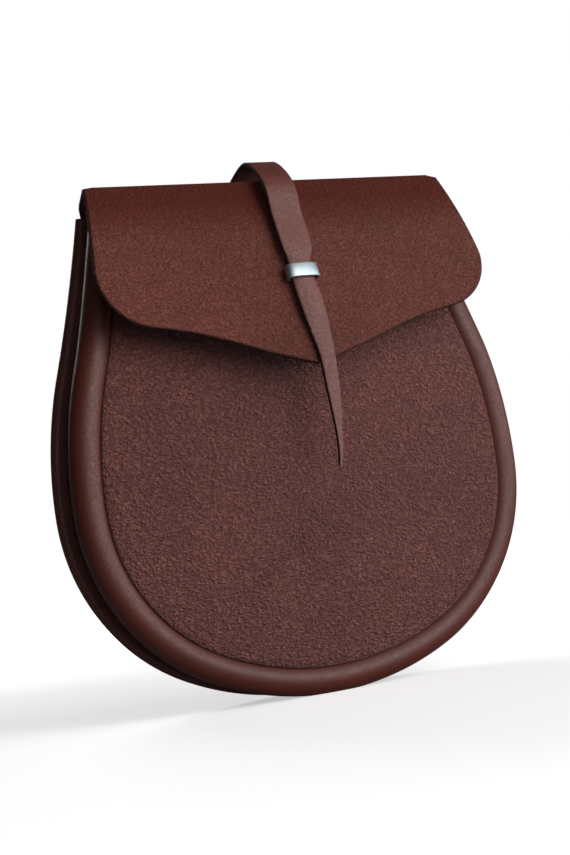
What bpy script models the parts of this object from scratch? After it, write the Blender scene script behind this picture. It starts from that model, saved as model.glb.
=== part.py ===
"""A leather sporran pouch that stands on its rounded bottom.

Metres, +Z up, +X to the right and +Y to the back. The origin is on the floor, in the middle of the flat
where the front rim rests.
"""

from math import asin, atan2, cos, hypot, pi, radians, sin

import bmesh
import bpy

# The outline of both rims, as arcs from the bottom up
BOTTOM_RADIUS = 0.1194
HIP_RADIUS = 0.0784
SIDE_RADIUS = 0.1665
NECK_RADIUS = 0.700
BOTTOM_TURN = 25.8
HIP_TURN = 62.5
SIDE_TURN = 19.1
NECK_TURN = 5.2
FRONT_NECK_TURN = 4.6
FLOOR_PRESS = 0.0005

# Clearance between pieces that are sewn or rest together
GAP = 0.0003

# The front rim, a rolled strip with a sewn edge behind
RIM_RADIUS = 0.0062
RIM_WALL = 0.002
RIM_EDGE_INSET = 0.0004
RIM_EDGE_BACK = 0.003
RIM_EDGE_WALL = 0.0014
RIM_LIP_ANGLE = 222.5

# The front leans back near the mouth
MOUTH_LEAN = 0.0045
LEAN_START = 0.125

# The front panel
PANEL_WALL = 0.002
PANEL_CREASE_ANGLE = 227.0
PANEL_DOME = 0.0018
PANEL_SHOULDER = 0.0008
PANEL_TOP_DROP = 0.003
PANEL_EDGE_GAP = 0.00038
PANEL_BEVEL_ANGLE = 14.0
PANEL_STEP = 0.0002
PANEL_RING_SHARES = (0.8, 0.55, 0.3)

# The gusset and the rear rim
GUSSET_WALL = 0.0016
GUSSET_INSET = 0.0068
REAR_RADIUS = 0.0026
REAR_WALL = 0.0013
REAR_DEPTH = 0.012
GUSSET_TUCK = 0.003
POUCH_DEPTH = 0.0224

# The back and the flap, one sheet
BACK_WALL = 0.002
BACK_BEND_RADIUS = 0.0043
ROOF_SLOPE = 4.5
FOLD_SPAN = 0.0235
FOLD_RADIUS = 0.0024
FOLD_HALF_WIDTH = 0.0774
FLAP_START_SLOPE = 58.5
FLAP_UPPER_RADIUS = 0.140
FLAP_UPPER_TURN = 16.0
FLAP_LOWER_RADIUS = 0.155
FLAP_HALF_WIDTH = 0.0831
FLAP_CORNER_RADIUS = 0.0218
FLAP_CORNER_TURN = 79.3
FLAP_CORNER_DROP = 0.0603
FLAP_TIP_DROP = 0.0788
FLAP_BOW = 0.0009
FLAP_WAVE = 0.0006
FLAP_SWELL = 1.1

# The closing strap
STRAP_WIDTH = 0.0134
STRAP_WALL = 0.0018
STRAP_ROOT_LENGTH = 0.026
STRAP_ARCH_RISE = 0.0075
STRAP_LIFT = 0.0028
STRAP_PINCH_WIDTH = 0.0098
STRAP_TAIL_LENGTH = 0.0705
STRAP_TAIL_SWAY = 0.0048
STRAP_CUP = 0.0011
STRAP_TIP_WIDTH = 0.0007

# The keeper
KEEPER_WIDTH = 0.0134
KEEPER_HEIGHT = 0.0056
KEEPER_WALL = 0.0009
KEEPER_SQUARENESS = 3.2
KEEPER_DROP = 0.0436
KEEPER_OFFSET = -0.0012
KEEPER_ROOM = 0.0006

# The belt loop
LOOP_WIDTH = 0.060
LOOP_WALL = 0.002
LOOP_BELOW_STRAP = 0.0102
LOOP_TAB = 0.011
LOOP_PASSAGE = 0.044
LOOP_STAND_OFF = 0.0066
LOOP_SLANT = 0.005

# Fineness of the facets
BOTTOM_STEPS = 17
HIP_STEPS = 11
SIDE_STEPS = 5
NECK_STEPS = 3
RIM_STEPS = 8
RIM_FLAT_ANGLE = 9.0
CORNER_STEPS = 5
FLAP_COLUMNS = 7
FLAP_ROWS = 12
STRAP_STEPS = 2
KEEPER_STEPS = 24


def clear_scene():
    for item in list(bpy.data.objects):
        bpy.data.objects.remove(item)


def coloured(name, colour, roughness, metallic=0.0):
    """A plain material of one colour."""
    material = bpy.data.materials.new(name)
    material.use_nodes = True
    shader = material.node_tree.nodes["Principled BSDF"]
    shader.inputs["Base Color"].default_value = (*colour, 1.0)
    shader.inputs["Roughness"].default_value = roughness
    shader.inputs["Metallic"].default_value = metallic
    return material


def add_object(name, points, faces, material, smooth=40.0):
    """One closed mesh, shaded smooth up to the given angle between faces."""
    mesh = bpy.data.meshes.new(name)
    mesh.from_pydata(points, [], faces)
    working = bmesh.new()
    working.from_mesh(mesh)
    bmesh.ops.recalc_face_normals(working, faces=working.faces)
    working.to_mesh(mesh)
    working.free()
    mesh.shade_smooth()
    mesh.set_sharp_from_angle(angle=radians(smooth))
    mesh.materials.append(material)
    thing = bpy.data.objects.new(name, mesh)
    bpy.context.scene.collection.objects.link(thing)
    return thing


def swept_solid(loops):
    """Points and faces of a solid whose sections are closed loops, one after another, with both ends shut."""
    count = len(loops[0])
    points = [point for loop in loops for point in loop]
    faces = []
    for row in range(len(loops) - 1):
        for k in range(count):
            a = row * count + k
            b = row * count + (k + 1) % count
            faces.append((a, b, b + count, a + count))
    faces.append(tuple(reversed(range(count))))
    last = (len(loops) - 1) * count
    faces.append(tuple(range(last, last + count)))
    return points, faces


def sheet_solid(front, back):
    """Points and faces of a sheet from two grids of points, its two sides, joined round the border."""
    rows = len(front)
    columns = len(front[0])
    points = [point for row in front for point in row]
    points += [point for row in back for point in row]
    other = rows * columns
    faces = []
    for r in range(rows - 1):
        for c in range(columns - 1):
            a = r * columns + c
            faces.append((a, a + 1, a + columns + 1, a + columns))
            faces.append((other + a, other + a + columns, other + a + columns + 1, other + a + 1))
    border = [(0, c) for c in range(columns - 1)]
    border += [(r, columns - 1) for r in range(rows - 1)]
    border += [(rows - 1, c) for c in range(columns - 1, 0, -1)]
    border += [(r, 0) for r in range(rows - 1, 0, -1)]
    for k, (r, c) in enumerate(border):
        r2, c2 = border[(k + 1) % len(border)]
        a = r * columns + c
        b = r2 * columns + c2
        faces.append((b, a, other + a, other + b))
    return points, faces


# The outline that both rims follow


def half_outline(neck_turn):
    """Places (x, z) and outward normals from near the bottom centre up the right side, on four arcs."""
    places = []
    x, z, heading = 0.0, -FLOOR_PRESS, 0.0
    arcs = (
        (BOTTOM_RADIUS, BOTTOM_TURN, BOTTOM_STEPS / 2),
        (HIP_RADIUS, HIP_TURN, HIP_STEPS),
        (SIDE_RADIUS, SIDE_TURN, SIDE_STEPS),
        (-NECK_RADIUS, -neck_turn, NECK_STEPS),
    )
    for radius, turn, steps in arcs:
        centre_x = x - radius * sin(heading)
        centre_z = z + radius * cos(heading)
        first = 0.5 if steps != int(steps) else 1.0
        for k in range(int(steps + 0.5)):
            angle = heading + radians(turn) * (first + k) / steps
            place = (centre_x + radius * sin(angle), centre_z - radius * cos(angle))
            places.append((place, (sin(angle), -cos(angle))))
        heading += radians(turn)
        x = centre_x + radius * sin(heading)
        z = centre_z - radius * cos(heading)
    return places


def whole_outline(neck_turn):
    """The places from the left top, round the bottom, to the right top."""
    right = half_outline(neck_turn)
    left = [((-x, z), (-nx, nz)) for (x, z), (nx, nz) in reversed(right)]
    return left + right


def offset_place(place, inset):
    """The point (x, z) that lies so far inside the outline."""
    (x, z), (nx, nz) = place
    return x - inset * nx, z - inset * nz


def outline_top(neck_turn, inset):
    return offset_place(half_outline(neck_turn)[-1], inset)[1]


def lean(z):
    """How far the front is set back at this height."""
    span = outline_top(FRONT_NECK_TURN, 0.0) - LEAN_START
    share = min(1.0, max(0.0, (z - LEAN_START) / span))
    return MOUTH_LEAN * share * share * (3.0 - 2.0 * share)


def on_floor(point):
    """Leather that would dip under the floor lies flat on it."""
    x, y, z = point
    return x, y, max(z, 0.0)


def swept_along_outline(section, neck_turn, leaning):
    """Loops of a section, given as (inset, y) points, carried round the outline."""
    loops = []
    for place in whole_outline(neck_turn):
        loop = []
        for inset, y in section:
            x, z = offset_place(place, inset)
            loop.append(on_floor((x, y + leaning(y) * lean(z), z)))
        loops.append(loop)
    return loops


def arc_points(centre, radius, start, end, steps):
    """Points (inset, y) on an arc of a rim's section. Angle 0 is outward and 90 degrees is to the back."""
    points = []
    for k in range(steps + 1):
        angle = radians(start + (end - start) * k / steps)
        points.append((centre[0] - radius * cos(angle), centre[1] + radius * sin(angle)))
    return points


# The front of the pouch


def front_rim_section():
    """A rolled strip: round from the lip by the panel, over the front, to the flat sewn edge behind."""
    centre = (RIM_RADIUS, 0.0)
    inner_radius = RIM_RADIUS - RIM_WALL
    edge_front = RIM_EDGE_BACK - RIM_EDGE_WALL
    outer_end = asin(edge_front / RIM_RADIUS) * 180.0 / pi - 1.0
    inner_end = asin(edge_front / inner_radius) * 180.0 / pi
    lip = RIM_LIP_ANGLE - 360.0
    outer = arc_points(centre, RIM_RADIUS, lip, -RIM_FLAT_ANGLE, RIM_STEPS)
    outer += arc_points(centre, RIM_RADIUS, RIM_FLAT_ANGLE, outer_end, 2)
    edge_end = GUSSET_INSET - GAP
    edge = [
        (RIM_EDGE_INSET, edge_front),
        (RIM_EDGE_INSET, RIM_EDGE_BACK),
        (edge_end, RIM_EDGE_BACK),
        (edge_end, edge_front),
    ]
    inner = arc_points(centre, inner_radius, inner_end, lip, RIM_STEPS)
    return outer + edge + inner


def make_front_rim(material):
    loops = swept_along_outline(front_rim_section(), FRONT_NECK_TURN, lambda y: 1.0)
    return add_object("front_rim", *swept_solid(loops), material)


def panel_rows():
    """The two outer rings and the first flat one, each as inset and y of its front and of its back."""
    angle = radians(PANEL_CREASE_ANGLE)
    reach = RIM_RADIUS + PANEL_EDGE_GAP
    inset, y = RIM_RADIUS - reach * cos(angle), reach * sin(angle)
    under = radians(PANEL_CREASE_ANGLE - PANEL_BEVEL_ANGLE)
    under_inset, under_y = RIM_RADIUS - reach * cos(under), reach * sin(under)
    level = y - PANEL_SHOULDER
    wall = PANEL_WALL
    return (
        ((inset, y), (under_inset, under_y)),
        ((inset + wall * 0.7, level), (under_inset + wall * 0.6, level + wall)),
        ((inset + wall * 2.0, level - PANEL_STEP), (under_inset + wall, level + wall)),
    )


def make_front_panel(material):
    """A sheet with a shallow dome, whose border dips to the crease beside the rim."""
    places = whole_outline(FRONT_NECK_TURN)
    mouth = outline_top(FRONT_NECK_TURN, 0.0) - PANEL_TOP_DROP
    middle = (0.0, mouth / 2.0)
    front_rings = []
    back_rings = []
    rows = panel_rows()
    for front, back in rows:
        for (inset, y), rings in ((front, front_rings), (back, back_rings)):
            ring = []
            for place in places:
                x, z = offset_place(place, inset)
                z = min(z, mouth)
                ring.append((x, y + lean(z), z))
            rings.append(ring)
    for share in PANEL_RING_SHARES:
        rise = PANEL_DOME * (1.0 - share * share) / (1.0 - PANEL_RING_SHARES[-1] ** 2)
        for rings, y in ((front_rings, rows[-1][0][1]), (back_rings, rows[-1][1][1])):
            ring = []
            for x, _, z in rings[len(rows) - 1]:
                x2 = x * share
                z2 = middle[1] + (z - middle[1]) * share
                if z >= mouth:
                    z2 = mouth
                ring.append((x2, y - rise + lean(z2), z2))
            rings.append(ring)
    return add_object("front_panel", *panel_solid(front_rings, back_rings), material)


def panel_solid(front_rings, back_rings):
    """Both sides of the panel as strips from ring to ring, a face across the middle, and the cut border."""
    count = len(front_rings[0])
    points = []
    for rings in (front_rings, back_rings):
        for ring in rings:
            points += ring
    depth = len(front_rings)
    faces = []
    for side in range(2):
        base = side * depth * count
        for r in range(depth - 1):
            for k in range(count - 1):
                a = base + r * count + k
                face = (a, a + count, a + count + 1, a + 1)
                faces.append(face if side == 0 else tuple(reversed(face)))
        inmost = base + (depth - 1) * count
        face = tuple(range(inmost, inmost + count))
        faces.append(tuple(reversed(face)) if side == 0 else face)
    other = depth * count
    for k in range(count - 1):
        faces.append((k, k + 1, other + k + 1, other + k))
    for r in range(depth - 1):
        a = r * count
        b = a + count - 1
        faces.append((a + count, a, other + a, other + a + count))
        faces.append((b, b + count, other + b + count, other + b))
    a = (depth - 1) * count
    b = a + count - 1
    faces.append((b, a, other + a, other + b))
    return points, faces


def make_gusset(material):
    """The side wall, from inside the rolled rim to the rear rim."""
    start = RIM_EDGE_BACK - RIM_EDGE_WALL - GUSSET_TUCK
    end = POUCH_DEPTH - REAR_RADIUS - GAP
    outer = GUSSET_INSET
    inner = GUSSET_INSET + GUSSET_WALL
    section = [(outer, start), (outer, RIM_EDGE_BACK + GAP), (outer, end)]
    section += [(inner, end), (inner, RIM_EDGE_BACK + GAP), (inner, start)]

    def leaning(y):
        return min(1.0, max(0.0, (end - y) / (end - RIM_EDGE_BACK - GAP)))

    loops = swept_along_outline(section, FRONT_NECK_TURN, leaning)
    return add_object("gusset", *swept_solid(loops), material)


# The back of the pouch


def make_rear_rim(material):
    """A strip folded round the edge of the back, with a leg on each side of it."""
    centre = (REAR_RADIUS, POUCH_DEPTH)
    slot_radius = REAR_RADIUS - REAR_WALL
    outer = arc_points(centre, REAR_RADIUS, -90.0, 90.0, RIM_STEPS)
    inner = arc_points(centre, slot_radius, 90.0, -90.0, RIM_STEPS // 2)
    section = [(REAR_DEPTH, outer[0][1])] + outer + [(REAR_DEPTH, outer[-1][1])]
    section += [(REAR_DEPTH, inner[0][1])] + inner + [(REAR_DEPTH, inner[-1][1])]
    loops = swept_along_outline(section, NECK_TURN, lambda y: 0.0)
    return add_object("rear_rim", *swept_solid(loops), material)


class Path:
    """A route in the (y, z) plane made of straight runs and arcs, read by its length."""

    def __init__(self, y, z, slope):
        self.runs = []
        self.length = 0.0
        self.end = (y, z, radians(slope))

    def straight(self, length):
        y, z, angle = self.end
        self.runs.append((self.length, length, y, z, angle, None))
        self.length += length
        self.end = (y + length * cos(angle), z + length * sin(angle), angle)
        return self

    def arc(self, radius, turn):
        """An arc that turns by so many degrees, positive to the left of the way it runs."""
        y, z, angle = self.end
        length = radius * abs(radians(turn))
        bend = radius if turn > 0 else -radius
        self.runs.append((self.length, length, y, z, angle, bend))
        self.length += length
        self.end = self._on_run(self.runs[-1], length)
        return self

    @staticmethod
    def _on_run(run, distance):
        _, _, y, z, angle, bend = run
        if bend is None:
            return y + distance * cos(angle), z + distance * sin(angle), angle
        after = angle + distance / bend
        return y + bend * (sin(after) - sin(angle)), z - bend * (cos(after) - cos(angle)), after

    def at(self, distance):
        """Place (y, z) and heading at this length. Past its end the path goes straight on."""
        for run in self.runs:
            if distance <= run[0] + run[1]:
                return self._on_run(run, distance - run[0])
        y, z, angle = self.end
        rest = distance - self.length
        return y + rest * cos(angle), z + rest * sin(angle), angle


def sheet_path():
    """The middle of the back and flap from the bottom up, over the fold and down the front."""
    bottom = offset_place(half_outline(NECK_TURN)[0], back_inset())[1]
    rise = outline_top(NECK_TURN, 0.0) - bottom
    path = Path(POUCH_DEPTH, bottom, 90.0)
    path.straight(rise)
    path.arc(BACK_BEND_RADIUS, 90.0 - ROOF_SLOPE)
    path.straight(FOLD_SPAN - BACK_BEND_RADIUS)
    fold_start = path.length
    path.arc(FOLD_RADIUS, ROOF_SLOPE + FLAP_START_SLOPE)
    fold_end = path.length
    path.arc(FLAP_UPPER_RADIUS, FLAP_UPPER_TURN)
    left_over = 90.0 - FLAP_START_SLOPE - FLAP_UPPER_TURN
    path.arc(FLAP_LOWER_RADIUS, left_over)
    return path, rise, fold_start, fold_end


def back_inset():
    """How far inside the outline the edge of the back lies, in the fold of the rear rim."""
    return REAR_RADIUS - GAP


def flap_corner(angle):
    """Distance from the middle and drop on the corner arc of the flap. Angle 0 is at its side."""
    distance = FLAP_HALF_WIDTH - FLAP_CORNER_RADIUS * (1.0 - cos(radians(angle)))
    drop = FLAP_CORNER_DROP - FLAP_CORNER_RADIUS * (1.0 - sin(radians(angle)))
    return distance, drop


def flap_drop(x):
    """Length of the flap at this distance from its middle, from the fold to its lower edge."""
    start, start_drop = flap_corner(FLAP_CORNER_TURN)
    if abs(x) > start:
        beyond = min(1.0, (abs(x) - FLAP_HALF_WIDTH + FLAP_CORNER_RADIUS) / FLAP_CORNER_RADIUS)
        return FLAP_CORNER_DROP - FLAP_CORNER_RADIUS * (1.0 - (1.0 - beyond * beyond) ** 0.5)
    share = abs(x) / start
    rise = (FLAP_TIP_DROP - start_drop) * share
    rise += FLAP_BOW * sin(pi * share) - FLAP_WAVE * sin(2.0 * pi * share)
    return FLAP_TIP_DROP - rise


def flap_columns():
    """Distances from the middle, close together round the corners."""
    start, _ = flap_corner(FLAP_CORNER_TURN)
    half = [start * k / FLAP_COLUMNS for k in range(FLAP_COLUMNS + 1)]
    for k in range(1, CORNER_STEPS + 1):
        half.append(flap_corner(FLAP_CORNER_TURN * (1.0 - k / CORNER_STEPS))[0])
    return [-x for x in reversed(half[1:])] + half


def make_back_and_flap(material):
    path, rise, fold_start, fold_end = sheet_path()
    columns = flap_columns()
    shares = [x / FLAP_HALF_WIDTH for x in columns]
    rows = []
    bottom = sheet_edge(0)[1]
    for k in range(len(half_outline(NECK_TURN))):
        half_width, z = sheet_edge(k)
        rows.append([(share * half_width, z - bottom) for share in shares])
    top_half = sheet_edge(-1)[0]
    roof_stops = [BACK_BEND_RADIUS * radians(90.0 - ROOF_SLOPE) * k / 4.0 for k in range(1, 5)]
    roof_stops += [fold_start - rise, (fold_start + fold_end) / 2.0 - rise, fold_end - rise]
    for stop in roof_stops:
        half_width = top_half + (FOLD_HALF_WIDTH - top_half) * stop / (fold_end - rise)
        rows.append([(share * half_width, rise + stop) for share in shares])
    widest = FLAP_CORNER_DROP - FLAP_CORNER_RADIUS
    for k in range(1, FLAP_ROWS + 1):
        row = []
        for x, share in zip(columns, shares):
            distance = flap_drop(x) * k / FLAP_ROWS
            swell = 1.0 - (1.0 - min(1.0, distance / widest)) ** FLAP_SWELL
            half_width = FOLD_HALF_WIDTH + (FLAP_HALF_WIDTH - FOLD_HALF_WIDTH) * swell
            row.append((share * half_width, fold_end + distance))
        rows.append(row)
    sides = []
    for side in (BACK_WALL / 2.0, -BACK_WALL / 2.0):
        grid = []
        for row in rows:
            points = []
            for x, distance in row:
                y, z, angle = path.at(distance)
                points.append((x, y + side * sin(angle), z - side * cos(angle)))
            grid.append(points)
        sides.append(grid)
    return add_object("back_and_flap", *sheet_solid(sides[1], sides[0]), material, smooth=50.0)


def sheet_edge(k):
    """Half width and height of the back's edge at this place of the outline."""
    x, z = offset_place(half_outline(NECK_TURN)[k], back_inset())
    return x, z


# The strap, its keeper and the belt loop


def flap_face(drop, lift):
    """Place (y, z) and heading so far down the flap and so far in front of its face."""
    path, _, _, fold_end = sheet_path()
    y, z, angle = path.at(fold_end + drop)
    out = BACK_WALL / 2.0 + lift
    return y + out * sin(angle), z - out * cos(angle), angle


def keeper_depth():
    """Inside depth of the keeper, over the cupped strap."""
    return STRAP_WALL + STRAP_CUP + 2.0 * KEEPER_ROOM


def strap_route():
    """Middle of the strap as (x, y, z), half width and cup, from its sewn root over the fold to its tip."""
    behind = POUCH_DEPTH + BACK_WALL / 2.0 + GAP + STRAP_WALL / 2.0
    path, _, fold_start, fold_end = sheet_path()
    crest_y, crest_z, _ = path.at((fold_start + fold_end) / 2.0)
    top = crest_z + BACK_WALL / 2.0 + STRAP_ARCH_RISE
    shoulder = outline_top(NECK_TURN, 0.0)
    span = behind - crest_y
    lift = KEEPER_WALL + GAP + keeper_depth() / 2.0
    straight = KEEPER_HEIGHT * 0.75
    wide = STRAP_WIDTH / 2.0
    pinch = STRAP_PINCH_WIDTH / 2.0
    stations = [
        ((0.0, behind, shoulder - STRAP_ROOT_LENGTH), wide, 0.0),
        ((0.0, behind, shoulder), wide, 0.0),
    ]
    arch = (
        # share of the way back from the crest, share of the rise from the shoulder
        (0.93, 0.55),
        (0.36, 1.00),
        (0.04, 0.93),
    )
    for back, rise in arch:
        stations.append(((0.0, crest_y + span * back, shoulder + (top - shoulder) * rise), wide, 0.0))
    descent = (
        # share of the drop to the keeper, share of the lift, share of the keeper's offset, width, cup
        (0.14, 2.20, 0.25, 1.00, 0.00),
        (0.44, 1.36, 0.42, 1.00, 0.00),
        (0.75, 1.37, 0.60, 0.97, 0.25),
    )
    for share, lifted, aside, width, cup in descent:
        place = (KEEPER_OFFSET * aside, *front_point(KEEPER_DROP * share, STRAP_LIFT * lifted))
        stations.append((place, wide * width, cup))
    for drop in (KEEPER_DROP - straight, KEEPER_DROP + straight):
        stations.append(((KEEPER_OFFSET, *front_point(drop, lift)), pinch, 1.0))
    resting = GAP + STRAP_WALL / 2.0
    tail = (
        # share of the tail's length, of its sway, of the pinched width, cup, share of the lift
        (0.15, 0.35, 1.02, 0.7, 0.50),
        (0.28, 0.65, 0.84, 0.4, 0.15),
        (0.40, 0.90, 0.68, 0.2, 0.05),
        (0.58, 1.00, 0.56, 0.1, 0.0),
        (0.78, 1.02, 0.30, 0.0, 0.0),
        (0.92, 0.90, 0.16, 0.0, 0.0),
        (1.00, 0.68, STRAP_TIP_WIDTH / STRAP_PINCH_WIDTH, 0.0, 0.0),
    )
    for share, sway, width, cup, lifted in tail:
        drop = KEEPER_DROP + straight + STRAP_TAIL_LENGTH * share
        out = resting + (lift - resting) * lifted + STRAP_CUP * cup / 2.0
        x = KEEPER_OFFSET + STRAP_TAIL_SWAY * sway
        stations.append(((x, *front_point(drop, out)), pinch * width, cup))
    return stations


def front_point(drop, lift):
    y, z, _ = flap_face(drop, lift)
    return y, z


def smooth_stations(stations, steps):
    """The stations with steps between each two, on a Catmull-Rom curve."""
    flat = [(*place, half, cup) for place, half, cup in stations]
    curve = []
    for k in range(len(flat) - 1):
        p0 = flat[max(k - 1, 0)]
        p1, p2 = flat[k], flat[k + 1]
        p3 = flat[min(k + 2, len(flat) - 1)]
        for j in range(steps):
            t = j / steps
            values = []
            for a, b, c, d in zip(p0, p1, p2, p3):
                bend = 2 * b + (c - a) * t + (2 * a - 5 * b + 4 * c - d) * t * t
                values.append(0.5 * (bend + (3 * b - a - 3 * c + d) * t**3))
            curve.append(values)
    curve.append(list(flat[-1]))
    return curve


def make_closing_strap(material):
    """A flat strip swept along its route, cupped where the keeper pinches it."""
    curve = smooth_stations(strap_route(), STRAP_STEPS)
    loops = []
    for k, (x, y, z, half, cup) in enumerate(curve):
        before = curve[max(k - 1, 0)]
        after = curve[min(k + 1, len(curve) - 1)]
        angle = atan2(after[2] - before[2], after[1] - before[1])
        side_slope = (after[0] - before[0]) / hypot(after[1] - before[1], after[2] - before[2])
        loop = []
        shares = (-1.0, -0.5, 0.0, 0.5, 1.0)
        across = [(share, 1.0) for share in shares] + [(share, -1.0) for share in reversed(shares)]
        for share, side in across:
            out = side * STRAP_WALL / 2.0 + STRAP_CUP * cup * (0.5 - share * share)
            along = -share * half * side_slope
            point_y = y + out * sin(angle) + along * cos(angle)
            point_z = z - out * cos(angle) + along * sin(angle)
            loop.append((x + share * half, point_y, point_z))
        loops.append(loop)
    return add_object("closing_strap", *swept_solid(loops), material)


def flat_oval(half_width, half_depth, steps):
    """Points (x, out) round a flat oval, the square-sided curve of a pressed ring."""
    points = []
    power = 2.0 / KEEPER_SQUARENESS
    for k in range(steps):
        angle = 2.0 * pi * (k + 0.5) / steps
        across, out = cos(angle), sin(angle)
        x = half_width * abs(across) ** power * (1 if across > 0 else -1)
        points.append((x, half_depth * abs(out) ** power * (1 if out > 0 else -1)))
    return points


def make_keeper(material):
    """A flat-oval ring round the strap, its back bar on the flap."""
    half_depth = keeper_depth() / 2.0 + KEEPER_WALL
    middle_y, middle_z, angle = flap_face(KEEPER_DROP, GAP + half_depth)
    outside = flat_oval(KEEPER_WIDTH / 2.0, half_depth, KEEPER_STEPS)
    inside = flat_oval(KEEPER_WIDTH / 2.0 - KEEPER_WALL, half_depth - KEEPER_WALL, KEEPER_STEPS)
    points = []
    half = KEEPER_HEIGHT / 2.0
    for ring in (outside, inside):
        for along in (-half, half):
            for x, out in ring:
                y = middle_y + out * sin(angle) + along * cos(angle)
                z = middle_z - out * cos(angle) + along * sin(angle)
                points.append((KEEPER_OFFSET + x, y, z))
    count = len(outside)
    faces = []
    for k in range(count):
        n = (k + 1) % count
        faces.append((k, n, count + n, count + k))
        faces.append((2 * count + n, 2 * count + k, 3 * count + k, 3 * count + n))
        faces.append((n, k, 2 * count + k, 2 * count + n))
        faces.append((count + k, count + n, 3 * count + n, 3 * count + k))
    return add_object("keeper", points, faces, material)


def make_belt_loop(material):
    """A strip with both ends sewn flat on the back and its middle standing off for a belt."""
    face = POUCH_DEPTH + BACK_WALL / 2.0
    near = face + GAP + LOOP_WALL / 2.0
    far = face + LOOP_STAND_OFF + LOOP_WALL / 2.0
    half = LOOP_PASSAGE / 2.0
    top = outline_top(NECK_TURN, 0.0) - STRAP_ROOT_LENGTH - LOOP_BELOW_STRAP
    middle = top - LOOP_TAB - LOOP_SLANT - half
    route = (
        (near, top),
        (near, top - LOOP_TAB),
        (far, middle + half),
        (far, middle - half),
        (near, middle - half - LOOP_SLANT),
        (near, middle - half - LOOP_SLANT - LOOP_TAB),
    )
    outer = []
    inner = []
    for k, (y, z) in enumerate(route):
        before = route[max(k - 1, 0)]
        after = route[min(k + 1, len(route) - 1)]
        one = atan2(y - before[0], before[1] - z) if k else 0.0
        two = atan2(after[0] - y, z - after[1]) if k < len(route) - 1 else 0.0
        angle = (one + two) / 2.0
        reach = LOOP_WALL / 2.0 / cos((one - two) / 2.0)
        outer.append((y + reach * cos(angle), z + reach * sin(angle)))
        inner.append((y - reach * cos(angle), z - reach * sin(angle)))
    section = outer + inner[::-1]
    loops = [[(side * LOOP_WIDTH / 2.0, y, z) for y, z in section] for side in (1, -1)]
    return add_object("belt_loop", *swept_solid(loops), material, smooth=20.0)


def main():
    clear_scene()
    smooth_brown = coloured("smooth_leather", (0.085, 0.030, 0.022), 0.42)
    pebbled_brown = coloured("pebbled_leather", (0.095, 0.036, 0.030), 0.55)
    flap_brown = coloured("flap_leather", (0.105, 0.034, 0.022), 0.50)
    dark_brown = coloured("dark_leather", (0.035, 0.013, 0.011), 0.55)
    steel = coloured("polished_steel", (0.62, 0.63, 0.65), 0.22, 1.0)
    make_front_rim(smooth_brown)
    make_front_panel(pebbled_brown)
    make_gusset(dark_brown)
    make_rear_rim(dark_brown)
    make_back_and_flap(flap_brown)
    make_closing_strap(flap_brown)
    make_keeper(steel)
    make_belt_loop(flap_brown)


main()
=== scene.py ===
"""The looks of a leather sporran pouch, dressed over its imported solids.

Metres, +Z up. The front faces -Y, and the origin is on the floor under the front rim.
"""
from math import asin, atan2, cos, degrees, pi, radians, sin

import bpy
import numpy as np
from mathutils import Matrix, Vector, noise
from mathutils.geometry import delaunay_2d_cdt


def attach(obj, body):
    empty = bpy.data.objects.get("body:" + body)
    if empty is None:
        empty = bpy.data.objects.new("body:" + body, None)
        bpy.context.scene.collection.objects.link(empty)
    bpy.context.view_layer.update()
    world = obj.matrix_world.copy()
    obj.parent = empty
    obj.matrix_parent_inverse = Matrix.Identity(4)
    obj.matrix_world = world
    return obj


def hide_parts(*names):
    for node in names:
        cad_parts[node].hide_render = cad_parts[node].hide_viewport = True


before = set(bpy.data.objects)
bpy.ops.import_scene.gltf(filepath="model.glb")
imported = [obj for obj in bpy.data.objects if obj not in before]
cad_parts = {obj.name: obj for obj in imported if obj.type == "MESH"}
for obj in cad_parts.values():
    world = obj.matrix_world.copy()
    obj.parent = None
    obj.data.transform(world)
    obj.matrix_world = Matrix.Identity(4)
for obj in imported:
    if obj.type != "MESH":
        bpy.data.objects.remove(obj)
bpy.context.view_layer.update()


# The view. A long lens looks at the pouch from the front left and a little from below its middle, and the
# picture is turned so that the pouch leans to the left in it.
EYE = Vector((-0.2999, -0.6026, 0.0602))
GAZE = Vector((0.4374, 0.8968, 0.0658))
ROLL = -8.03
LENS = 72.2

camera = bpy.data.objects.new("camera", bpy.data.cameras.new("camera"))
camera.data.lens = LENS
camera.data.clip_start = 0.01
turned = GAZE.to_track_quat("-Z", "Y").to_matrix() @ Matrix.Rotation(radians(ROLL), 3, "Z")
camera.matrix_world = Matrix.Translation(EYE) @ turned.to_4x4()
bpy.context.scene.collection.objects.link(camera)
bpy.context.scene.camera = camera


# The stage. A white floor and a white room stand behind the pouch as in a catalogue picture. Soft lamps
# stand in a low arc before it, one is high on the right and one behind. To the leather itself the floor
# and the room are dim.
FLOOR_SIZE = 8.0
FLOOR_WHITE = 0.95
FLOOR_GLOW = 0.50
FLOOR_GLOW_AFAR = 1.05
FLOOR_NEAR = 0.22
FLOOR_FAR = 1.0
FLOOR_BOUNCE = 0.25
ROOM_LIGHT = 0.04
LAMP_SIZE = 0.75
LAMP_DISTANCE = 1.6
LAMP_AIM = 0.10
LAMPS = (
    # name, degrees to the right of the front, degrees up, power
    ("low lamp left", -15.0, 5.0, 3.0),
    ("low lamp middle", 15.0, 5.0, 8.0),
    ("low lamp right", 45.0, 5.0, 8.5),
    ("low lamp far right", 75.0, 5.0, 4.5),
    ("front lamp", 18.0, 28.0, 8.0),
    ("high lamp", 48.0, 50.0, 1.6),
    ("rear lamp", 180.0, 30.0, 9.0),
)

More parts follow.
